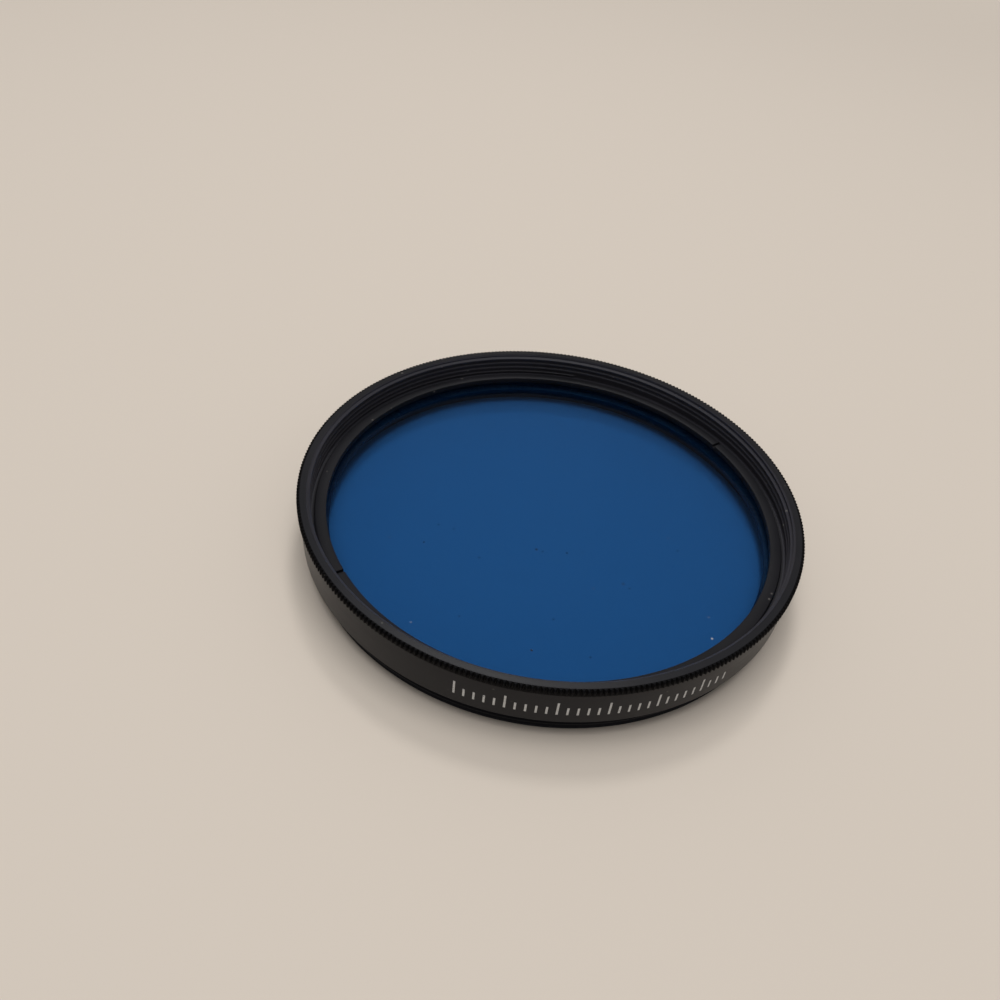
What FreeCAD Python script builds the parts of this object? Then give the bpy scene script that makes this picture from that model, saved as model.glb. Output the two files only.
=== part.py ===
"""Round colour filter: a glass disc held in a turned mount by a screwed retaining ring.

All sizes are in millimetres. The filter stands on its rear, the end with the male thread, at z = 0.
The optical axis is Z and the front, the end with the female thread, looks up.
"""

import FreeCAD
import Part
import Sketcher

import os
import re

# Driving sizes: name, value, what it measures
SIZES = [
    ("thread_d", 62.0, "nominal diameter of both filter threads"),
    ("thread_pitch", 0.75, "pitch of both filter threads"),
    ("male_allowance", 0.1, "the male thread is smaller than nominal by this, on diameter"),
    ("male_thread_len", 2.55, "male thread, from the rear end to the wall's shoulder"),
    ("male_chamfer", 0.3, "chamfer where the male thread starts"),
    ("relief_len", 0.4, "run-out groove behind either thread, along the axis"),
    ("relief_depth", 0.35, "run-out groove, deeper than the thread's crests by this"),
    ("wall_rise", 0.8, "the plain outer wall stands outside the nominal thread by this"),
    ("wall_len", 5.2, "plain outer wall, from its shoulder to the knurled band"),
    ("wall_break", 0.15, "broken edge at the wall's shoulder"),
    ("knurl_rise", 0.4, "the knurl's sharp crests stand above the wall by this"),
    ("knurl_len", 0.85, "knurled band, up to the front lip"),
    ("knurl_teeth", 348, "number of straight knurl teeth"),
    ("tooth_depth", 0.35, "depth of a groove between two teeth"),
    ("mouth_play", 0.05, "the female thread's lead-in opens past the nominal radius by this"),
    ("skirt_inset", 1.2, "the rear recess lies inside the nominal thread by this"),
    ("skirt_recess", 1.8, "rear recess, from the rear end up to the flange"),
    ("flange_t", 0.55, "thickness of the flange that carries the glass"),
    ("flange_ledge", 1.75, "the flange reaches in from the seat by this"),
    ("seat_inset", 0.75, "the seat of glass and retaining ring lies inside the nominal thread by this"),
    ("glass_t", 2.5, "thickness of the glass"),
    ("glass_chamfer", 0.2, "ground edge of the glass"),
    ("glass_clearance", 0.15, "radial play of the glass in its seat"),
    ("ring_t", 0.8, "height of the retaining ring"),
    ("ring_width", 1.45, "radial width of the retaining ring"),
    ("ring_clearance", 0.05, "radial play of the retaining ring in the seat"),
    ("ring_chamfer", 0.1, "broken edges of the retaining ring"),
    ("shoulder_drop", 0.3, "the shoulder round the retaining ring lies below its front by this"),
    ("slot_w", 0.5, "width of the two spanner slots"),
    ("slot_depth", 0.4, "depth of the two spanner slots"),
    ("slot_angle", 39.5, "where the screwed-down ring stopped, in degrees from X"),
]

# An inner ISO thread's crests stand this many pitches inside the nominal diameter
CREST_DEPTH = 1.0825

# A cutter stands out of the metal by this
OVERCUT = 0.03

# The knurl's blank stands above its crests by this, and neighbouring grooves cut it away
BLANK_STOCK = 0.05

# Heights that follow from the driving sizes
KNURL_Z = "(male_thread_len + wall_len)"
LIP_Z = "(male_thread_len + wall_len + knurl_len)"
SEAT_Z = "(skirt_recess + flange_t)"
GLASS_TOP_Z = "(skirt_recess + flange_t + glass_t)"
SHOULDER_Z = "(skirt_recess + flange_t + glass_t + ring_t - shoulder_drop)"

# Radii that follow from them
MALE_R = "(thread_d - male_allowance) / 2"
WALL_R = "(thread_d / 2 + wall_rise)"
KNURL_R = "(thread_d / 2 + wall_rise + knurl_rise)"
BLANK_R = f"({KNURL_R} + {BLANK_STOCK})"
MOUTH_R = "(thread_d / 2 + mouth_play)"
CREST_R = f"((thread_d - {CREST_DEPTH} * thread_pitch) / 2)"
SKIRT_R = "(thread_d / 2 - skirt_inset)"
SEAT_R = "(thread_d / 2 - seat_inset)"
FLANGE_R = f"({SEAT_R} - flange_ledge)"
GLASS_R = f"({SEAT_R} - glass_clearance)"
RING_R = f"({SEAT_R} - ring_clearance)"
RING_BORE_R = f"({RING_R} - ring_width)"


def make_sheet(doc):
    """Put every driving size in the sheet under its own name."""
    sheet = doc.addObject("Spreadsheet::Sheet", "Sizes")
    for row, (name, value, meaning) in enumerate(SIZES, start=1):
        sheet.set(f"A{row}", meaning)
        sheet.set(f"B{row}", str(value))
        sheet.setAlias(f"B{row}", name)
    doc.recompute()
    return sheet


def sized(formula):
    """Make a formula of size names read them from the sheet."""
    return re.sub(r"[a-z]+(_[a-z]+)+", lambda name: "Sizes." + name.group(0), str(formula))


def origin_plane(body, role):
    """Find one of the body's own origin planes."""
    return next(plane for plane in body.Origin.OriginFeatures if plane.Role == role)


def new_sketch(body, name, role):
    """Start a sketch on one of the body's origin planes."""
    sketch = body.newObject("Sketcher::SketchObject", name)
    sketch.AttachmentSupport = [(origin_plane(body, role), "")]
    sketch.MapMode = "FlatFace"
    return sketch


def draw_outline(sketch, corners):
    """Draw a closed outline whose corners are bound to formulas for both coordinates."""
    sheet = sketch.Document.getObject("Sizes")
    places = []
    for across, along in corners:
        x = float(sheet.evalExpression(across))
        y = float(sheet.evalExpression(along))
        places.append(FreeCAD.Vector(x, y, 0))
    count = len(places)
    for index in range(count):
        sketch.addGeometry(Part.LineSegment(places[index], places[(index + 1) % count]))
    for index in range(count):
        sketch.addConstraint(Sketcher.Constraint("Coincident", index, 2, (index + 1) % count, 1))
    for index, (across, along) in enumerate(corners):
        bind_corner(sketch, index, "DistanceX", across, places[index].x)
        bind_corner(sketch, index, "DistanceY", along, places[index].y)


def bind_corner(sketch, line, kind, formula, value):
    """Hold one coordinate of a line's start, on the axis where the formula is plain zero."""
    if formula == "0":
        axis = -2 if kind == "DistanceX" else -1
        sketch.addConstraint(Sketcher.Constraint("PointOnObject", line, 1, axis))
        return
    number = sketch.addConstraint(Sketcher.Constraint(kind, -1, 1, line, 1, value))
    sketch.setExpression(f"Constraints[{number}]", sized(formula))


def revolve(body, sketch, name):
    """Turn an outline about the optical axis."""
    turned = body.newObject("PartDesign::Revolution", name)
    turned.Profile = sketch
    turned.ReferenceAxis = (sketch, ["V_Axis"])
    turned.Angle = 360
    body.Document.recompute()
    return turned


def pocket(body, sketch, name, length):
    """Cut a sketch into the body, along +Z from the sketch's plane."""
    before = body.Shape.Volume
    cut = body.newObject("PartDesign::Pocket", name)
    cut.Profile = sketch
    cut.Reversed = True
    cut.setExpression("Length", sized(length))
    body.Document.recompute()
    require_less(body, before)
    return cut


def require_less(body, before):
    """Stop if a cut has taken nothing away."""
    if body.Shape.Volume >= before:
        raise RuntimeError(f"a cut in {body.Label} removed nothing")


def mount_ring(doc):
    """The turned mount with its two filter threads and its knurled front edge."""
    body = doc.addObject("PartDesign::Body", "mount_ring")
    section = new_sketch(body, "mount_section", "XZ_Plane")
    male_relief_r = f"({MALE_R} - relief_depth)"
    female_relief_r = f"({CREST_R} + relief_depth)"
    relief_top_z = f"({SHOULDER_Z} + relief_len)"
    draw_outline(section, [
        # The rear skirt with the male thread, its start chamfer and its run-out groove
        (SKIRT_R, "0"),
        (f"{MALE_R} - male_chamfer", "0"),
        (MALE_R, "male_chamfer"),
        (MALE_R, "male_thread_len - relief_len"),
        (male_relief_r, "male_thread_len - relief_len"),
        (male_relief_r, "male_thread_len"),
        # The plain wall
        (f"{WALL_R} - wall_break", "male_thread_len"),
        (WALL_R, "male_thread_len + wall_break"),
        (WALL_R, KNURL_Z),
        # The blank of the knurled band, and the lip
        (BLANK_R, KNURL_Z),
        (BLANK_R, LIP_Z),
        # The lead-in, the female thread's crests and their run-out groove
        (MOUTH_R, LIP_Z),
        (CREST_R, f"{LIP_Z} - {MOUTH_R} + {CREST_R}"),
        (CREST_R, relief_top_z),
        (female_relief_r, relief_top_z),
        (female_relief_r, SHOULDER_Z),
        # The seat of the glass and the retaining ring, the flange and the rear recess
        (SEAT_R, SHOULDER_Z),
        (SEAT_R, SEAT_Z),
        (FLANGE_R, SEAT_Z),
        (FLANGE_R, "skirt_recess"),
        (SKIRT_R, "skirt_recess"),
    ])
    revolve(body, section, "turned_mount")
    knurl(body, section)
    return body


def knurl(body, section):
    """Cut one groove between two teeth, through the lip's edge, and repeat it round the band.

    The groove is a V from its root to the crests on both sides, drawn on past them and out of the blank.
    """
    groove = new_sketch(body, "knurl_groove", "XY_Plane")
    groove.setExpression("AttachmentOffset.Base.z", sized(KNURL_Z))
    root = f"({KNURL_R} - tooth_depth)"
    crest_x = f"{KNURL_R} * cos(180 deg / knurl_teeth)"
    crest_y = f"{KNURL_R} * sin(180 deg / knurl_teeth)"
    drawn_on = f"(1 + ({BLANK_STOCK} + {OVERCUT}) / tooth_depth)"
    outer_x = f"{root} + {drawn_on} * ({crest_x} - {root})"
    draw_outline(groove, [
        (root, "0"),
        (outer_x, f"0 - {drawn_on} * {crest_y}"),
        (outer_x, f"{drawn_on} * {crest_y}"),
    ])
    first = pocket(body, groove, "first_groove", "knurl_len")
    before = body.Shape.Volume
    teeth = body.newObject("PartDesign::PolarPattern", "knurl_teeth")
    teeth.Originals = [first]
    teeth.Axis = (section, ["V_Axis"])
    teeth.Angle = 360
    teeth.setExpression("Occurrences", sized("knurl_teeth"))
    body.Tip = teeth
    body.Document.recompute()
    require_less(body, before)


def filter_glass(doc):
    """The dyed glass disc with both rims ground to a small chamfer."""
    body = doc.addObject("PartDesign::Body", "filter_glass")
    circle = new_sketch(body, "glass_circle", "XY_Plane")
    radius = float(doc.getObject("Sizes").evalExpression(GLASS_R))
    circle.addGeometry(Part.Circle(FreeCAD.Vector(0, 0, 0), FreeCAD.Vector(0, 0, 1), radius))
    circle.addConstraint(Sketcher.Constraint("Coincident", 0, 3, -1, 1))
    circle.addConstraint(Sketcher.Constraint("Radius", 0, radius))
    circle.setExpression("Constraints[1]", sized(GLASS_R))
    disc = body.newObject("PartDesign::Pad", "glass_disc")
    disc.Profile = circle
    disc.setExpression("Length", sized("glass_t"))
    doc.recompute()
    rims = [f"Edge{number}" for number, edge in enumerate(disc.Shape.Edges, start=1)
            if isinstance(edge.Curve, Part.Circle)]
    ground = body.newObject("PartDesign::Chamfer", "ground_edges")
    ground.Base = (disc, rims)
    ground.setExpression("Size", sized("glass_chamfer"))
    body.setExpression("Placement.Base.z", sized(SEAT_Z))
    return body


def retaining_ring(doc):
    """The ring that is screwed down on the glass, with one saw cut across it as spanner slots."""
    body = doc.addObject("PartDesign::Body", "retaining_ring")
    section = new_sketch(body, "ring_section", "XZ_Plane")
    draw_outline(section, [
        (RING_BORE_R, "0"),
        (f"{RING_R} - ring_chamfer", "0"),
        (RING_R, "ring_chamfer"),
        (RING_R, "ring_t - ring_chamfer"),
        (f"{RING_R} - ring_chamfer", "ring_t"),
        (f"{RING_BORE_R} + ring_chamfer", "ring_t"),
        (RING_BORE_R, "ring_t - ring_chamfer"),
    ])
    revolve(body, section, "turned_ring")
    cut = new_sketch(body, "spanner_cut", "XY_Plane")
    cut.setExpression("AttachmentOffset.Base.z", sized("ring_t - slot_depth"))
    reach = f"({RING_R} + {OVERCUT})"
    draw_outline(cut, [
        (f"0 - {reach}", "0 - slot_w / 2"),
        (reach, "0 - slot_w / 2"),
        (reach, "slot_w / 2"),
        (f"0 - {reach}", "slot_w / 2"),
    ])
    pocket(body, cut, "spanner_slots", f"slot_depth + {OVERCUT}")
    body.Placement = FreeCAD.Placement(
        FreeCAD.Vector(0, 0, 0), FreeCAD.Rotation(FreeCAD.Vector(0, 0, 1), 1))
    body.setExpression("Placement.Base.z", sized(GLASS_TOP_Z))
    body.setExpression("Placement.Rotation.Angle", sized("slot_angle"))
    return body


def check(doc, pieces):
    """Stop at an object that failed, or at a piece that isn't one sound solid."""
    for item in doc.Objects:
        if "Invalid" in item.State or "Error" in item.State:
            raise RuntimeError(f"{item.Label} failed: {item.State}")
    for piece in pieces:
        shape = piece.Shape
        if shape.isNull() or not shape.isValid() or len(shape.Solids) != 1:
            raise RuntimeError(f"{piece.Label} isn't one sound solid")


def write(pieces):
    """Write each piece to its own file and say what it measures."""
    os.makedirs("parts", exist_ok=True)
    for piece in pieces:
        piece.Shape.exportStep(os.path.join("parts", f"{piece.Label}.step"))
        box = piece.Shape.BoundBox
        print(f"{piece.Label}: z {box.ZMin:.3f} to {box.ZMax:.3f}, across {box.XLength:.3f}, "
              f"volume {piece.Shape.Volume:.1f}, faces {len(piece.Shape.Faces)}")


def main():
    doc = FreeCAD.newDocument("color_filter")
    make_sheet(doc)
    pieces = [mount_ring(doc), filter_glass(doc), retaining_ring(doc)]
    doc.recompute()
    check(doc, pieces)
    write(pieces)


main()
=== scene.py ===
# %% [markdown]
# # A screw-in colour filter
# A colour filter for a lens is a disc of dyed glass in a thin turned ring. The ring has a
# male thread behind, which screws into the lens, and a female thread in front, which takes
# a cap, a hood or another filter. A second, smaller ring is screwed down on the glass.
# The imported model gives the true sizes. This script dresses it: it rebuilds the metal with
# real threads and a knurl, and gives every surface its finish.

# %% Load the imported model
import math

import bmesh
import bpy
from mathutils import Matrix, Vector


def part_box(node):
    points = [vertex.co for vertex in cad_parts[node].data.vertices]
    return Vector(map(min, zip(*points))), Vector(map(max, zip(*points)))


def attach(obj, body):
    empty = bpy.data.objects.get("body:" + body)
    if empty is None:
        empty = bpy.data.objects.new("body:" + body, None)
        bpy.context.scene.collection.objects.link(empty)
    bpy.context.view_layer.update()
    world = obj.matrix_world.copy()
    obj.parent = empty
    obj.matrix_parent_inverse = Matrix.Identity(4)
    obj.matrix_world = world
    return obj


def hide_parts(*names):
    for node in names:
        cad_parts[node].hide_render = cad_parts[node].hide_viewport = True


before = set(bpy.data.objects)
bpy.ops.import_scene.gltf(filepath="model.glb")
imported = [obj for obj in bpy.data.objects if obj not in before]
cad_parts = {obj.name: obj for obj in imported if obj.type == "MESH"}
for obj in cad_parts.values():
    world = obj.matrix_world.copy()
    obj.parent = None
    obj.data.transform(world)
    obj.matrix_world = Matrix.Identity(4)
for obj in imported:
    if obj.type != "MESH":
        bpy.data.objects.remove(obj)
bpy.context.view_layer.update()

print("packed pieces:", ", ".join(sorted(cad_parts)))

# %% [markdown]
# ## Sizes
# Turned parts are drawn as a half section: radius across, height up, in millimetres. Working
# in millimetres keeps the numbers readable, and one scaling at the end gives Blender metres.
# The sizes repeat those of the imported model, and the print below sets three of them against
# its boxes, because a piece that grows past its solid is a mistake.

# %% Sizes of the turned parts, in millimetres
METRE = 1000
TEETH = 348
PITCH = 0.75
THREAD_DEPTH = 0.33
MALE_R = 30.95
MALE_TOP = 2.15
MALE_CHAMFER = 0.3
MALE_RELIEF_R = 30.6
SHOULDER_Z = 2.55
WALL_R = 31.8
WALL_BREAK = 0.15
# Painted shade under the knurl starts at this height on the wall.
SHADE_UNDER_KNURL_Z = 7.25
KNURL_Z = 7.75
KNURL_R = 32.2
TOOTH_DEPTH = 0.35
LIP_Z = 8.6
MOUTH_R = 31.05
CREST_R = 30.594
RELIEF_R = 30.944
RELIEF_TOP = 5.75
LEDGE_Z = 5.35
SEAT_R = 30.25
SEAT_Z = 2.35
FLANGE_R = 28.5
FLANGE_Z = 1.8
SKIRT_R = 29.8
RING_R = 30.2
RING_BORE_R = 28.75
RING_Z = 4.85
RING_TOP = 5.65
SLOT_WIDTH = 0.5
SLOT_DEPTH = 0.4
SLOT_ANGLE = math.radians(39.5)

mount_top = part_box("mount_ring")[1] * METRE
ring_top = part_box("retaining_ring")[1] * METRE
print(f"mount: {mount_top[0]:.2f} mm radius for {KNURL_R}, {mount_top[2]:.2f} mm high for {LIP_Z}")
print(f"retaining ring: front at {ring_top[2]:.2f} mm for {RING_TOP}")

# %% [markdown]
# ## Turning an outline
# A lathe part is an outline spun about its axis. Every metal edge on a real part is broken or
# slightly round, and that small radius is what catches the light, so the outline's corners are
# rounded before it is spun: a bevel on corner points costs far less than one on the spun
# edges. All parts share one number of columns round the axis, one for each knurl tooth, so
# their rims meet point to point and weld into one closed skin.

# %% A lathe
ROUNDING = 0.05


def outline_of(bm, corners):
    """Draw straight lines from corner to corner, and return the points."""
    points = [bm.verts.new((radius, 0, height)) for radius, height in corners]
    for start, end in zip(points, points[1:]):
        bm.edges.new((start, end))
    return points


def turned(corners, rounding=0.0):
    """Spin an outline once round the axis, its inner corners rounded first."""
    bm = bmesh.new()
    points = outline_of(bm, corners)
    if rounding:
        bmesh.ops.bevel(bm, geom=points[1:-1], offset=rounding, offset_type="OFFSET", segments=2,
                        profile=0.5, affect="VERTICES", material=-1)
    bmesh.ops.spin(bm, geom=bm.verts[:] + bm.edges[:], cent=(0, 0, 0), axis=(0, 0, 1),
                   angle=math.tau, steps=TEETH, use_merge=True)
    return bm


print(f"columns round the axis: {TEETH}, one every {360 / TEETH:.2f} degrees")

# %% [markdown]
# ## Cutting a thread
# A thread is a small outline that climbs one pitch in every turn. The spin operator can climb
# while it turns, so it sweeps one pitch of the outline once round a helix, then stacks copies
# of that turn, which weld along their shared edges. A real thread stops at a chamfer and in a
# run-out groove. Here the sweep starts too low and ends too high, and what lies past an end is
# pushed back onto it, where it welds into a clean rim.

# %% A thread cutter
WELD = 0.002
SPARE_TURNS = 1.5
FLANK_ANGLE = math.radians(30)
NARROW_CREST = 1 / 8
WIDE_CREST = 1 / 4


def thread_outline(crest_r, root_r, pitch, crest_share):
    """One pitch of a 60 degree thread: crest, flank, root, flank."""
    flank = abs(crest_r - root_r) * math.tan(FLANK_ANGLE)
    crest = pitch * crest_share
    root = pitch - crest - 2 * flank
    return [(crest_r, 0), (crest_r, crest), (root_r, crest + flank),
            (root_r, crest + flank + root), (crest_r, pitch)]


def threaded(corners, pitch, low, high, limit):
    """Sweep one pitch up a helix between two rims; limit gives a height's radius."""
    bm = bmesh.new()
    more_turns = math.ceil((high - low) / pitch) + 1
    start = low - SPARE_TURNS * pitch
    outline_of(bm, [(radius, height + start) for radius, height in corners])
    bmesh.ops.spin(bm, geom=bm.verts[:] + bm.edges[:], cent=(0, 0, 0), axis=(0, 0, 1),
                   dvec=(0, 0, pitch / TEETH), angle=math.tau, steps=TEETH)
    bmesh.ops.spin(bm, geom=bm.verts[:] + bm.edges[:] + bm.faces[:], cent=(0, 0, 0),
                   axis=(0, 0, 1), dvec=(0, 0, pitch), angle=0, steps=more_turns,
                   use_duplicate=True)
    for point in bm.verts:
        height = min(max(point.co.z, low), high)
        radius = limit(point.co.xy.length, height)
        point.co.xy = point.co.xy.normalized() * radius
        point.co.z = height
    bmesh.ops.remove_doubles(bm, verts=bm.verts, dist=WELD)
    return bm


print(f"the filter thread climbs {PITCH / TEETH:.4f} mm from column to column")

# %% [markdown]
# ## Joining parts into one skin
# The parts of the mount are made one by one and then poured into one mesh. Welding closes the
# seams. A count of open edges shows at once whether a rim has missed its neighbour, which is
# much easier to read than a picture.

# %% Weld parts and make a piece
SHARP_ANGLE = math.radians(30)


def poured(parts):
    """Put several bmeshes into one and weld the rims that meet."""
    whole = bmesh.new()
    for part in parts:
        carrier = bpy.data.meshes.new("carrier")
        part.to_mesh(carrier)
        part.free()
        whole.from_mesh(carrier)
        bpy.data.meshes.remove(carrier)
    bmesh.ops.remove_doubles(whole, verts=whole.verts, dist=WELD)
    return whole


def finish_piece(bm, name):
    """Turn normals outward, scale to metres, and make the object."""
    bmesh.ops.recalc_face_normals(bm, faces=bm.faces)
    open_edges = sum(1 for edge in bm.edges if len(edge.link_faces) != 2)
    bmesh.ops.scale(bm, vec=(1 / METRE,) * 3, verts=bm.verts)
    mesh = bpy.data.meshes.new(name)
    bm.to_mesh(mesh)
    bm.free()
    mesh.shade_smooth()
    mesh.set_sharp_from_angle(angle=SHARP_ANGLE)
    piece = bpy.data.objects.new(name, mesh)
    bpy.context.scene.collection.objects.link(piece)
    triangles = sum(len(face.vertices) - 2 for face in mesh.polygons)
    print(f"{name}: {triangles} triangles, {open_edges} open edges")
    return piece


# %% [markdown]
# ## One knurl tooth
# The grip is a band of straight teeth, cut with a roller or a form tool through the front
# lip's edge. Modelling the band as a bump would lose the notched outline that it gives the
# lip. Instead one groove is drawn from crest to crest and raised to the band's height. The
# crests lean in at the top, as a light turning cut leaves them, the rims are bevelled, and
# the spin operator copies the tooth round.

# %% Helpers for one tooth
TOOTH_ANGLE = math.tau / TEETH
CLOSE = 0.01


def at(radius, turn, height):
    """A point at a radius and at a share of one tooth's angle."""
    return (radius * math.cos(turn * TOOTH_ANGLE), radius * math.sin(turn * TOOTH_ANGLE), height)


def turn_of(point):
    """A point's place round the axis, in teeth."""
    return math.atan2(point.y, point.x) / TOOTH_ANGLE


def flat_on_cut(face):
    """Is this upright face inside the metal: against a neighbour tooth or the wall?"""
    corners = [corner.co for corner in face.verts]
    upright = abs(face.normal.z) < 0.5
    on_side = any(all(abs(turn_of(point) - side) < CLOSE for point in corners) for side in (0, 1))
    on_wall = all(point.xy.length < WALL_R + CLOSE for point in corners)
    return upright and (on_side or on_wall)


def on_tooth_rim(edge):
    """Is this a level edge on the outside of the band, at its top or its foot?"""
    start, end = (corner.co for corner in edge.verts)
    level = any(max(abs(start.z - rim), abs(end.z - rim)) < CLOSE for rim in (KNURL_Z, LIP_Z))
    outside = min(start.xy.length, end.xy.length) > WALL_R + CLOSE
    along = abs(turn_of(start) - turn_of(end)) > CLOSE
    return level and outside and along


def raise_region(bm, face, rise, keep):
    """Pull a face up and return the points of its new place."""
    made = bmesh.ops.extrude_face_region(bm, geom=[face], use_keep_orig=keep)
    upper = [item for item in made["geom"] if isinstance(item, bmesh.types.BMVert)]
    bmesh.ops.translate(bm, vec=(0, 0, rise), verts=upper)
    if not keep:
        bmesh.ops.delete(bm, geom=[face], context="FACES_ONLY")
    return upper


print(f"one tooth: {KNURL_R * TOOTH_ANGLE:.3f} mm from crest to crest")

# %% The knurled band
CREST_HALF = 0.12
ROOT_HALF = 0.07
TOOTH_BREAK = 0.04
CREST_LEAN = 0.16
TOOTH_COPIES = (12, 29)


def knurled_band():
    """One groove with half a crest on each side, copied round the band."""
    bm = bmesh.new()
    root_r = KNURL_R - TOOTH_DEPTH
    section = [(WALL_R, 0), (KNURL_R, 0), (KNURL_R, CREST_HALF), (root_r, 0.5 - ROOT_HALF),
               (root_r, 0.5 + ROOT_HALF), (KNURL_R, 1 - CREST_HALF), (KNURL_R, 1), (WALL_R, 1)]
    floor = bm.faces.new([bm.verts.new(at(radius, turn, KNURL_Z)) for radius, turn in section])
    raise_region(bm, floor, LIP_Z - KNURL_Z - CREST_LEAN, True)
    middle = max(bm.faces, key=lambda face: face.calc_center_median().z)
    for point in raise_region(bm, middle, CREST_LEAN, False):
        if point.co.xy.length > KNURL_R - CLOSE:
            point.co.xy = point.co.xy.normalized() * (KNURL_R - CREST_LEAN)
    inner = [face for face in bm.faces if flat_on_cut(face)]
    bmesh.ops.delete(bm, geom=inner, context="FACES")
    rims = [edge for edge in bm.edges if on_tooth_rim(edge)]
    bmesh.ops.bevel(bm, geom=rims, offset=TOOTH_BREAK, offset_type="OFFSET", segments=2,
                    profile=0.5, affect="EDGES", material=-1)
    done = 1
    for copies in TOOTH_COPIES:
        bmesh.ops.spin(bm, geom=bm.verts[:] + bm.edges[:] + bm.faces[:], cent=(0, 0, 0),
                       axis=(0, 0, 1), angle=TOOTH_ANGLE * done * (copies - 1),
                       steps=copies - 1, use_duplicate=True)
        done *= copies
    print("knurl:", done, "teeth,", len(bm.faces), "faces")
    return bm


# %% [markdown]
# ## The mount
# The mount is one turned part, so it is one closed mesh: the male thread with its chamfer and
# run-out groove, the plain wall, the knurl, the flat lip, the lead-in, the female thread, the
# glass seat, the flange and the hollow skirt. Each outline below starts on the rim where the
# part before it ended.

# %% The mount ring
def male_limit(radius, height):
    """The chamfer takes the thread's start away, and the thread ends in its groove."""
    if height >= MALE_TOP:
        return MALE_RELIEF_R
    if height <= 0:
        return MALE_R - MALE_CHAMFER
    return min(radius, MALE_R - MALE_CHAMFER + height)


def female_limit(radius, height):
    """The lead-in opens the thread towards the lip, and the thread ends in its groove."""
    if height <= RELIEF_TOP:
        return RELIEF_R
    return max(radius, MOUTH_R - LIP_Z + height)


male_thread = threaded(
    thread_outline(MALE_R, MALE_R - THREAD_DEPTH, PITCH, NARROW_CREST),
    PITCH, 0, MALE_TOP, male_limit)
female_thread = threaded(
    thread_outline(CREST_R, CREST_R + THREAD_DEPTH, PITCH, WIDE_CREST),
    PITCH, RELIEF_TOP, LIP_Z, female_limit)
# The wall has an extra rim where the painted shade under the knurl begins.
outer_wall = turned([
    (MALE_RELIEF_R, MALE_TOP), (MALE_RELIEF_R, SHOULDER_Z), (WALL_R - WALL_BREAK, SHOULDER_Z),
    (WALL_R, SHOULDER_Z + WALL_BREAK), (WALL_R, SHADE_UNDER_KNURL_Z), (WALL_R, KNURL_Z)], rounding=ROUNDING)
lip = turned([(WALL_R, LIP_Z), (MOUTH_R, LIP_Z)])
inside = turned([
    (RELIEF_R, RELIEF_TOP), (RELIEF_R, LEDGE_Z), (SEAT_R, LEDGE_Z), (SEAT_R, SEAT_Z),
    (FLANGE_R, SEAT_Z), (FLANGE_R, FLANGE_Z), (SKIRT_R, FLANGE_Z), (SKIRT_R, 0),
    (MALE_R - MALE_CHAMFER, 0)], rounding=ROUNDING)
mount_mesh = poured([male_thread, outer_wall, knurled_band(), lip, female_thread, inside])
bmesh.ops.rotate(mount_mesh, cent=(0, 0, 0), matrix=Matrix.Rotation(-TOOTH_ANGLE / 2, 3, "Z"),
                 verts=mount_mesh.verts)
mount = finish_piece(mount_mesh, "filter_mount")
# The teeth and the wall just under them take the second, darker finish: painted shade in the
# grooves and under the band.
shaded_knurl_faces = 0
for face in mount.data.polygons:
    middle = face.center * METRE
    if middle.z > SHADE_UNDER_KNURL_Z and middle.xy.length > WALL_R - CLOSE:
        face.material_index = 1
        shaded_knurl_faces += 1
print("faces on the teeth and just under them:", shaded_knurl_faces)
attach(mount, "root")
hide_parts("mount_ring")

# %% [markdown]
# ## The retaining ring
# The ring that holds the glass is threaded on its outside with a finer thread than the
# mount's, and a saw cut across it leaves two slots for the spanner. The slots go right
# through its rim, so a box is subtracted from the closed ring. A difference of two closed
# meshes keeps the result closed, which cutting faces by hand seldom does.

# %% The retaining ring, still without its slots
RING_PITCH = 0.5
RING_THREAD_DEPTH = 0.2
RING_BREAK = 0.06


def ring_limit(radius, height):
    """The fine thread ends on plain rims above and below."""
    if height <= RING_Z + RING_BREAK or height >= RING_TOP - RING_BREAK:
        return RING_R - RING_BREAK
    return radius


ring_thread = threaded(
    thread_outline(RING_R, RING_R - RING_THREAD_DEPTH, RING_PITCH, WIDE_CREST),
    RING_PITCH, RING_Z + RING_BREAK, RING_TOP - RING_BREAK, ring_limit)
ring_rest = turned([
    (RING_R - RING_BREAK, RING_TOP - RING_BREAK), (RING_R - 2 * RING_BREAK, RING_TOP),
    (RING_BORE_R, RING_TOP), (RING_BORE_R, RING_Z), (RING_R - 2 * RING_BREAK, RING_Z),
    (RING_R - RING_BREAK, RING_Z + RING_BREAK)], rounding=RING_BREAK)
retainer = finish_piece(poured([ring_thread, ring_rest]), "filter_retaining_ring")

# %% The spanner slots
saw = bmesh.new()
bmesh.ops.create_cube(saw, size=1)
bmesh.ops.scale(saw, vec=(2 * WALL_R, SLOT_WIDTH, 2 * SLOT_DEPTH), verts=saw.verts)
bmesh.ops.translate(saw, vec=(0, 0, RING_TOP), verts=saw.verts)
bmesh.ops.rotate(saw, cent=(0, 0, 0), matrix=Matrix.Rotation(SLOT_ANGLE, 3, "Z"), verts=saw.verts)
saw_blade = finish_piece(saw, "saw_blade")

cut = retainer.modifiers.new("spanner slots", "BOOLEAN")
cut.operation = "DIFFERENCE"
cut.solver = "EXACT"
cut.object = saw_blade
bpy.context.view_layer.update()
slotted = bpy.data.meshes.new_from_object(
    retainer.evaluated_get(bpy.context.evaluated_depsgraph_get()))
retainer.modifiers.clear()
retainer.data = slotted
slotted.set_sharp_from_angle(angle=SHARP_ANGLE)
bpy.data.objects.remove(saw_blade)
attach(retainer, "root")
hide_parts("retaining_ring")
print("slotted ring:", len(slotted.polygons), "faces")

# %% [markdown]
# ## Painted marks
# The front of the wall carries a plain scale of short and long strokes in white filling
# paint. Strokes drawn in the wall's material would look flat from close by. So each is a
# thin plate let into the wall and bevelled, which shows a hair of thickness in glancing light.

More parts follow.
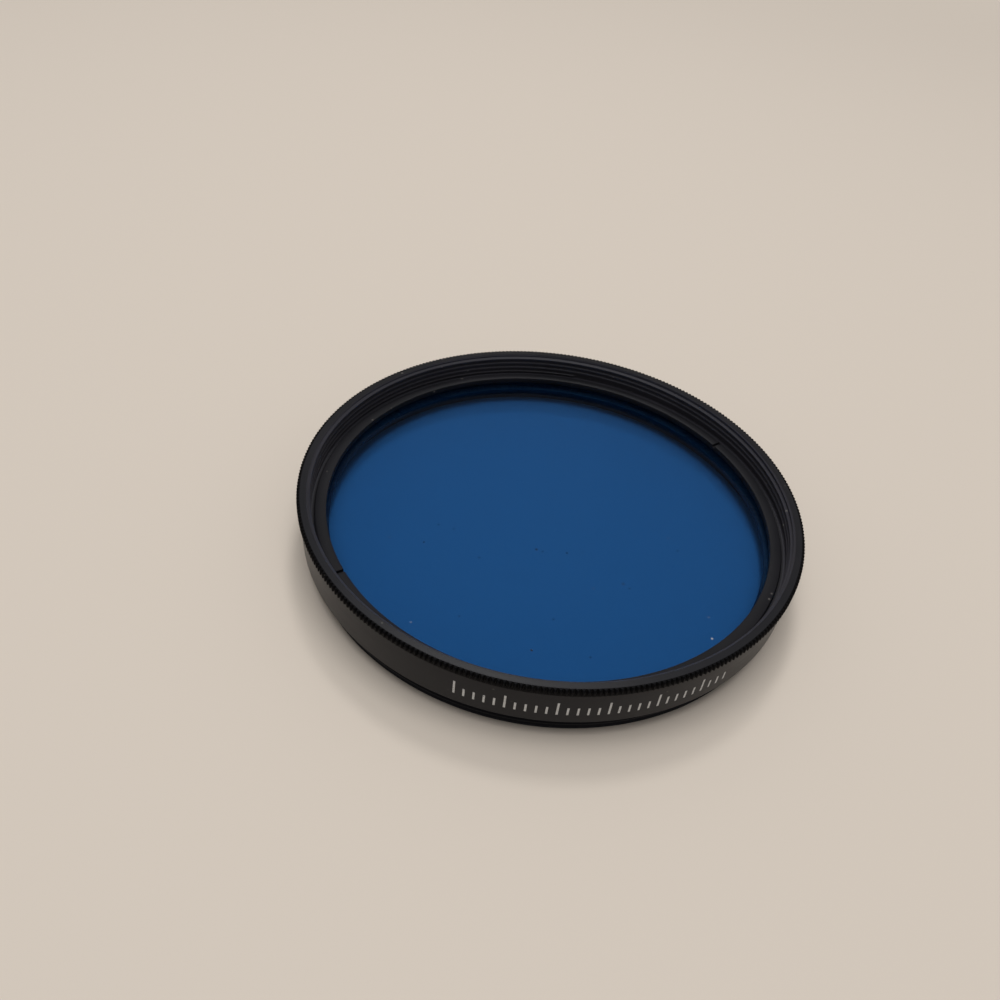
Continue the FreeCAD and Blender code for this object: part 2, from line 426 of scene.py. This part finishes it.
# %% White strokes on the wall
MARK_FROM = -102
MARK_TO = -46
MARK_STEP = 2
MARK_LOW = 4.0
MARK_LONG = 2.0
MARK_SHORT = 1.2
MARK_WIDTH = 0.24
MARK_DEPTH = 0.08
MARK_PROUD = 0.012
MARK_BREAK = 0.01
MARKS_TO_A_LONG = 5


def add_stroke(bm, degrees, height):
    """One upright stroke at its place round the wall."""
    made = bmesh.ops.create_cube(bm, size=1)["verts"]
    bmesh.ops.scale(bm, vec=(MARK_DEPTH, MARK_WIDTH, height), verts=made)
    bmesh.ops.translate(bm, vec=(WALL_R + MARK_PROUD - MARK_DEPTH / 2, 0, MARK_LOW + height / 2),
                        verts=made)
    bmesh.ops.rotate(bm, cent=(0, 0, 0), matrix=Matrix.Rotation(math.radians(degrees), 3, "Z"),
                     verts=made)


strokes = bmesh.new()
for number, degrees in enumerate(range(MARK_FROM, MARK_TO + 1, MARK_STEP)):
    add_stroke(strokes, degrees, MARK_LONG if number % MARKS_TO_A_LONG == 0 else MARK_SHORT)
bmesh.ops.bevel(strokes, geom=strokes.edges[:], offset=MARK_BREAK, offset_type="OFFSET",
                segments=1, profile=0.5, affect="EDGES", material=-1)
marks = finish_piece(strokes, "wall_marks")
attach(marks, "root")

# %% [markdown]
# ## Writing shaders as sums
# A finish is a small calculation over the surface: how dusty, how rough, how pale. Node by
# node it is hard to read, so one class wraps a socket and gives it Python's arithmetic. An
# expression then adds its Math nodes by itself, and one method adds every other node.

# %% Sockets with arithmetic
class Signal:
    """The output of a node, which can be added, subtracted and multiplied."""

    def __init__(self, finish, socket):
        self.finish = finish
        self.socket = socket

    def _math(self, operation, first, second, clamp=False):
        return self.finish.node("ShaderNodeMath", {"operation": operation, "use_clamp": clamp},
                                {0: first, 1: second})

    def __add__(self, other):
        return self._math("ADD", self, other)

    def __sub__(self, other):
        return self._math("SUBTRACT", self, other)

    def __rsub__(self, other):
        return self._math("SUBTRACT", other, self)

    def __mul__(self, other):
        return self._math("MULTIPLY", self, other)

    __radd__ = __add__
    __rmul__ = __mul__

    def clamped(self):
        """Keep the value between 0 and 1."""
        return self._math("ADD", self, 0, clamp=True)


class Finish:
    """The nodes of a material or a world, which starts empty and takes one at each call."""

    def __init__(self, owner):
        owner.use_nodes = True
        self.owner = owner
        self.tree = owner.node_tree
        self.tree.nodes.clear()

    def node(self, kind, settings=None, sockets=None, output=0):
        """Add a node: its settings first, then the values or links of its sockets."""
        made = self.tree.nodes.new(kind)
        for key, value in (settings or {}).items():
            setattr(made, key, value)
        for key, value in (sockets or {}).items():
            if isinstance(value, Signal):
                self.tree.links.new(value.socket, made.inputs[key])
            else:
                made.inputs[key].default_value = value
        return Signal(self, made.outputs[output]) if made.outputs else None

    def place(self):
        """Where a point lies on the object, in metres."""
        return self.node("ShaderNodeTexCoord", output="Object")

    def colour(self, share, first, second):
        """Blend two colours, which are the Mix node's sockets 6 and 7, and its output 2."""
        return self.node("ShaderNodeMix", {"data_type": "RGBA"}, {0: share, 6: first, 7: second},
                         output=2)

    def noise(self, vector, scale, detail=2):
        """Soft random values around one half."""
        return self.node("ShaderNodeTexNoise", {},
                         {"Vector": vector, "Scale": scale, "Detail": detail})

    def step(self, value, low, high):
        """Rise smoothly from 0 at low to 1 at high."""
        return self.node("ShaderNodeMapRange", {"interpolation_type": "SMOOTHSTEP"},
                         {"Value": value, "From Min": low, "From Max": high})

    def surface(self, shader, end="ShaderNodeOutputMaterial"):
        """Send a shader to the output, and return the material or world."""
        self.node(end, {}, {"Surface": shader})
        return self.owner


# %% [markdown]
# ## Black anodised metal
# The rings are turned from aluminium and anodised black. The dye makes them almost black, and
# the oxide keeps a satin gloss in which the turning lines show as a fine sheen round the
# axis. The lines are noise that varies quickly with radius and height and hardly at all
# round the axis. Handling leaves pale dust in single specks. The female thread takes a paler,
# uneven tone: painted light that brightens the bore. The hidden faces under the glass take a
# paler tone too: painted light that lifts their shade where it shows through the glass. The
# knurl's teeth and the wall just under them take a deeper black: painted shade.

# %% The anodised finish
LINE_SCALE = 9000
LINE_STRETCH = 0.004
PATCH_SCALE = 90
PATCH_EDGE = (0.35, 0.7)
DUST_SCALE = 700
DUST_EDGE = (0.16, 0.05)
DUST_PATCH_SCALE = 350
DUST_PATCH_EDGE = (0.60, 0.66)
LINE_RELIEF = 0.10
LINE_DEPTH = 0.00002
# Painted light: the female thread takes this paler tone, which brightens the bore.
BORE_PAINTED_LIGHT_TONE = (0.034, 0.033, 0.041, 1)
# Painted light: the faces under the glass take this paler tone, which lifts their shade.
UNDER_GLASS_PAINTED_LIGHT_TONE = (0.06, 0.06, 0.06, 1)
METAL_DUST_TONE = (0.33, 0.31, 0.28, 1)


def anodised(name, rough, pale, shine):
    """Black anodised, turned metal with a little dust, and painted light in the bore and under the
    glass; pale is the darkest grey of its tone.
    """
    finish = Finish(bpy.data.materials.new(name))
    place = finish.place()
    across, along, up = (finish.node("ShaderNodeSeparateXYZ", {}, {0: place}, output=axis)
                         for axis in "XYZ")
    radius = finish.node("ShaderNodeVectorMath", {"operation": "LENGTH"}, {
        0: finish.node("ShaderNodeCombineXYZ", {}, {0: across, 1: along})}, output="Value")
    swept = finish.node("ShaderNodeCombineXYZ", {}, {0: radius, 1: up, 2: across * LINE_STRETCH})
    lines = finish.noise(swept, LINE_SCALE, detail=3)
    patches = finish.noise(place, PATCH_SCALE, detail=3)
    specks = finish.node("ShaderNodeTexVoronoi", {"feature": "F1"},
                         {"Vector": place, "Scale": DUST_SCALE})
    picked = finish.noise(place, DUST_PATCH_SCALE, detail=0)
    dust = finish.step(specks, *DUST_EDGE) * finish.step(picked, *DUST_PATCH_EDGE)
    tone = finish.colour(finish.step(patches, *PATCH_EDGE), (pale, pale, 1.2 * pale, 1),
                         (1.3 * pale, 1.26 * pale, 1.5 * pale, 1))
    past_seat = finish.step(radius, (SEAT_R + 0.15) / METRE, (SEAT_R + 0.25) / METRE)
    before_lip = finish.step(radius, (MOUTH_R + 0.05) / METRE, (MOUTH_R - 0.10) / METRE)
    above_glass = finish.step(up, (LEDGE_Z - 0.2) / METRE, (LEDGE_Z - 0.1) / METRE)
    in_bore = past_seat * before_lip * above_glass
    # Painted light: the bore takes a paler, uneven tone, which brightens it.
    tone = finish.colour(in_bore * (0.6 + 0.4 * patches), tone, BORE_PAINTED_LIGHT_TONE)
    # Painted light: the seat, flange and skirt faces under the glass are paler, which lifts their
    # shade as seen through the glass.
    under_glass = (finish.step(up, (SEAT_Z + 0.1) / METRE, (SEAT_Z + 0.05) / METRE)
                   * finish.step(radius, (SEAT_R + 0.1) / METRE, (SEAT_R + 0.05) / METRE))
    tone = finish.colour(under_glass, tone, UNDER_GLASS_PAINTED_LIGHT_TONE)
    tone = finish.colour(dust * 0.3, tone, METAL_DUST_TONE)
    relief = finish.node("ShaderNodeBump", {}, {
        "Strength": LINE_RELIEF, "Distance": LINE_DEPTH, "Height": lines})
    shader = finish.node("ShaderNodeBsdfPrincipled", {}, {
        "Base Color": tone,
        "Roughness": (rough + (lines - 0.5) * 0.12 + (patches - 0.5) * 0.10 + in_bore * 0.15
                      + dust * 0.4).clamped(),
        "Specular IOR Level": shine,
        "Normal": relief})
    return finish.surface(shader)


mount.data.materials.append(
    anodised("black anodised mount", rough=0.34, pale=0.011, shine=0.14))
# The second finish is painted shade: a deeper black on the teeth and on the wall under them.
mount.data.materials.append(
    anodised("black anodised knurl in painted shade", rough=0.50, pale=0.003, shine=0.045))
retainer.data.materials.clear()
retainer.data.materials.append(
    anodised("black anodised retaining ring", rough=0.44, pale=0.010, shine=0.09))
print("metal finishes:", ", ".join(
    slot.material.name for piece in (mount, retainer) for slot in piece.material_slots))

# %% [markdown]
# ## White paint in the marks
# Filling paint is matt and never quite even. Two noises dull it a little and let the metal
# show through in pin holes.

# %% The paint
PIN_HOLE_SCALE = 5200
PIN_HOLE_EDGE = (0.60, 0.68)
BLOTCH_SCALE = 1500
DULL_WHITE = (0.48, 0.48, 0.47, 1)
CLEAN_WHITE = (0.66, 0.66, 0.65, 1)
METAL_SHOWING = (0.05, 0.05, 0.05, 1)
paint = Finish(bpy.data.materials.new("white filling paint"))
paint_place = paint.place()
worn = paint.step(paint.noise(paint_place, PIN_HOLE_SCALE, detail=3), *PIN_HOLE_EDGE)
paint_tone = paint.colour(paint.noise(paint_place, BLOTCH_SCALE), DULL_WHITE, CLEAN_WHITE)
marks.data.materials.append(paint.surface(paint.node("ShaderNodeBsdfPrincipled", {}, {
    "Base Color": paint.colour(worn * 0.7, paint_tone, METAL_SHOWING),
    "Roughness": 0.55 + worn * 0.1,
    "Specular IOR Level": 0.3})))
print("paint on", len(range(MARK_FROM, MARK_TO + 1, MARK_STEP)), "strokes")

# %% [markdown]
# ## Blue glass
# Conversion glass is dyed all through, so light is filtered once on its way down to the floor
# and again on its way back to the eye. The dye is the colour of a transmitting surface. Two
# kinds of ray meet a tinted Transparent shader instead: those sent from the floor towards a
# lamp, and those that the floor scatters. A path tracer would find the floor under real
# refracting glass nearly dark otherwise. A coating takes most of the mirror image away,
# which a dark specular tint does here. A sprinkle of dust lies on the front: dark motes and
# paler ones. Each is a soft spot at its own place. The spots of one kind are gathered into
# one mask, blended in as matt grey.

# %% The glass with its dust
GLASS_TONE = (0.129, 0.335, 0.622, 1)
SHADOW_TONE = tuple(math.sqrt(part) for part in GLASS_TONE)
DARK_DUST = [
    (0.8, -24.4, 0.20, 0.9), (-0.6, -8.6, 0.28, 0.45), (0.2, -8.8, 0.20, 0.30),
    (3.2, -8.3, 0.20, 0.5), (5.1, -7.7, 0.24, 0.15), (-14.4, -10.7, 0.18, 0.7),
    (-13.3, -7.2, 0.26, 0.2), (-11.3, -7.5, 0.26, 0.15), (-7.3, -11.7, 0.26, 0.2),
    (10.4, -11.9, 0.30, 0.3), (11.2, -12.5, 0.22, 0.25), (17.0, -4.5, 0.26, 0.2),
    (7.3, -23.9, 0.20, 0.3), (-7.9, -21.4, 0.26, 0.2), (2.7, -19.4, 0.26, 0.2)]
PALE_DUST = [
    (20.9, -18.1, 0.20, 0.7), (20.6, -14.9, 0.20, 0.12), (6.9, -13.5, 0.22, 0.08),
    (15.8, -2.4, 0.18, 0.14), (-18.7, -10.9, 0.20, 0.08), (-13.0, -23.5, 0.20, 0.16)]
DARK_MOTE = 0.004
PALE_MOTE = 0.45
MOTE_CORE = 0.3
COATING_TINT = (0.08, 0.07, 0.11, 1)

glass = Finish(bpy.data.materials.new("dyed blue glass"))
glass_place = glass.place()
flat_place = glass.node("ShaderNodeVectorMath", {"operation": "MULTIPLY"},
                        {0: glass_place, 1: (METRE, METRE, 0)})
glass_height = glass.node("ShaderNodeSeparateXYZ", {}, {0: glass_place}, output="Z")
on_front = glass.step(glass_height, (RING_Z - 0.02) / METRE, (RING_Z - 0.01) / METRE)


def sprinkled(specks):
    """A mask that is high at each speck: place, size and how much it covers."""
    mask = None
    for across, along, size, cover in specks:
        away = glass.node("ShaderNodeVectorMath", {"operation": "DISTANCE"},
                          {0: flat_place, 1: (across, along, 0)}, output="Value")
        spot = glass.step(away, size, size * MOTE_CORE) * cover
        mask = spot if mask is None else mask + spot
    return (mask * on_front).clamped()


shader = glass.node("ShaderNodeBsdfPrincipled", {}, {
    "Base Color": GLASS_TONE, "Roughness": 0.015, "IOR": 1.52, "Transmission Weight": 1.0,
    "Specular Tint": COATING_TINT})
for specks, grey in ((DARK_DUST, DARK_MOTE), (PALE_DUST, PALE_MOTE)):
    matt = glass.node("ShaderNodeBsdfPrincipled", {}, {
        "Base Color": (grey, grey, grey, 1), "Roughness": 0.8})
    shader = glass.node("ShaderNodeMixShader", {}, {0: sprinkled(specks), 1: shader, 2: matt})
shadow = glass.node("ShaderNodeBsdfTransparent", {}, {"Color": SHADOW_TONE})
for ray in ("Is Diffuse Ray", "Is Shadow Ray"):
    shader = glass.node("ShaderNodeMixShader", {}, {
        0: glass.node("ShaderNodeLightPath", output=ray), 1: shader, 2: shadow})
glass_material = glass.surface(shader)
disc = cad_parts["filter_glass"]
for slot in disc.material_slots:
    slot.material = glass_material
print("glass:", glass_material.name, "with", len(DARK_DUST) + len(PALE_DUST), "specks")

# %% [markdown]
# ## The floor
# The filter lies on a plain pale floor. Far from the filter it fades into a plain colour that
# no lamp changes, and that the backdrop behind it repeats, so a low view has no hard horizon.
# Light Path tells which rays see that colour: those from the camera, and those that the glass
# and the metal bend or mirror. Near the filter all rays meet the lit floor, with its shadow.

# %% The floor
FLOOR_TONE = (0.62, 0.55, 0.475, 1)
FLOOR_RADIUS = 3.0
FLOOR_SIDES = 96
FADE_FROM = 0.2
FADE_TO = 0.7
floor_mesh = bmesh.new()
bmesh.ops.create_circle(floor_mesh, cap_ends=True, segments=FLOOR_SIDES, radius=FLOOR_RADIUS)
floor_data = bpy.data.meshes.new("floor")
floor_mesh.to_mesh(floor_data)
floor_mesh.free()
floor = bpy.data.objects.new("floor", floor_data)
bpy.context.scene.collection.objects.link(floor)
ground = Finish(bpy.data.materials.new("pale floor"))
far_away = ground.step(ground.node("ShaderNodeVectorMath", {"operation": "LENGTH"},
                                   {0: ground.place()}, output="Value"), FADE_FROM, FADE_TO)


def in_sight(finish):
    """Two masks of rays that show the background: straight, and by a mirror or through glass."""
    seen, mirrored, through = (
        finish.node("ShaderNodeLightPath", output=ray)
        for ray in ("Is Camera Ray", "Is Glossy Ray", "Is Transmission Ray"))
    return seen, (mirrored + through).clamped()


straight, bent = in_sight(ground)
near_floor = ground.node("ShaderNodeBsdfPrincipled", {}, {
    "Base Color": FLOOR_TONE, "Roughness": 0.7, "Specular IOR Level": 0.2})
far_floor = ground.node("ShaderNodeEmission", {}, {"Color": FLOOR_TONE})
floor_data.materials.append(ground.surface(ground.node("ShaderNodeMixShader", {}, {
    0: far_away * (straight + bent).clamped(), 1: near_floor, 2: far_floor})))
print("floor fades from", FADE_FROM, "to", FADE_TO, "m")

# %% [markdown]
# ## Sky and lamps
# An even sky fills in all round, and a wide soft lamp hangs above, so there is only a soft
# shadow close round the foot. Together they light a floor so that it renders about as its
# colour is written. A small weak lamp behind gives the near lip its sheen. The sky carries
# the backdrop too: all of it for camera rays, and the part near the horizon for bent and
# mirrored rays. Above that these meet a dim ceiling, since a bright one would veil the glass.

# %% The sky
SKY_TONE = (1.0, 0.99, 0.99, 1)
SKY_LIGHT = 0.36
CEILING_LIGHT = 0.12
BACKDROP_FULL = 0.30
BACKDROP_GONE = 0.50
sky = Finish(bpy.data.worlds.new("soft sky"))
even_light = sky.node("ShaderNodeBackground", {}, {"Color": SKY_TONE, "Strength": SKY_LIGHT})
ceiling = sky.node("ShaderNodeBackground", {}, {"Color": SKY_TONE, "Strength": CEILING_LIGHT})
backdrop = sky.node("ShaderNodeBackground", {}, {"Color": FLOOR_TONE})
direction = sky.node("ShaderNodeTexCoord", output="Generated")
steepness = sky.node("ShaderNodeSeparateXYZ", {}, {0: direction}, output="Z")
near_horizon = sky.step(steepness, BACKDROP_GONE, BACKDROP_FULL)
straight, bent = in_sight(sky)
above = sky.node("ShaderNodeMixShader", {}, {0: bent, 1: even_light, 2: ceiling})
bpy.context.scene.world = sky.surface(sky.node("ShaderNodeMixShader", {}, {
    0: (straight + bent * near_horizon).clamped(), 1: above, 2: backdrop}),
    "ShaderNodeOutputWorld")
print("sky:", SKY_LIGHT, "all round,", CEILING_LIGHT, "in mirror images")

# %% The lamps
def soft_lamp(name, place, size, power):
    """A square area lamp that looks at the filter."""
    data = bpy.data.lights.new(name, "AREA")
    data.shape = "SQUARE"
    data.size = size
    data.energy = power
    lamp = bpy.data.objects.new(name, data)
    bpy.context.scene.collection.objects.link(lamp)
    lamp.location = place
    lamp.rotation_euler = (-Vector(place)).to_track_quat("-Z", "Y").to_euler()
    print(f"{name}: {power} W over {size} m")


soft_lamp("lamp above", place=(-0.03, -0.04, 0.90), size=0.60, power=4.75)
soft_lamp("lamp behind", place=(-0.04, 0.44, 0.78), size=0.16, power=1.6)

# %% [markdown]
# ## The camera
# The camera stands close, which is why the near rim looks much larger than the far one. Its
# place, its aim, its roll and its lens were found by fitting the rims, the slots and the foot.

# %% The camera
CAMERA_PLACE = Vector((0.0, -83.946, 78.156)) / METRE
CAMERA_AIM = Vector((-6.122, -4.851, 8.6)) / METRE
CAMERA_ROLL = math.radians(6.727)
CAMERA_LENS = 30.403
SENSOR_WIDTH = 36
CLIP_START = 0.005

camera_data = bpy.data.cameras.new("camera")
camera_data.lens = CAMERA_LENS
camera_data.sensor_width = SENSOR_WIDTH
camera_data.clip_start = CLIP_START
camera = bpy.data.objects.new("camera", camera_data)
bpy.context.scene.collection.objects.link(camera)
camera.location = CAMERA_PLACE
looking = (CAMERA_AIM - CAMERA_PLACE).to_track_quat("-Z", "Y").to_matrix()
camera.rotation_euler = (looking @ Matrix.Rotation(CAMERA_ROLL, 3, "Z")).to_euler()
bpy.context.scene.camera = camera
bpy.context.scene.view_settings.view_transform = "Standard"
print(f"camera: {(CAMERA_AIM - CAMERA_PLACE).length * METRE:.0f} mm from its aim")
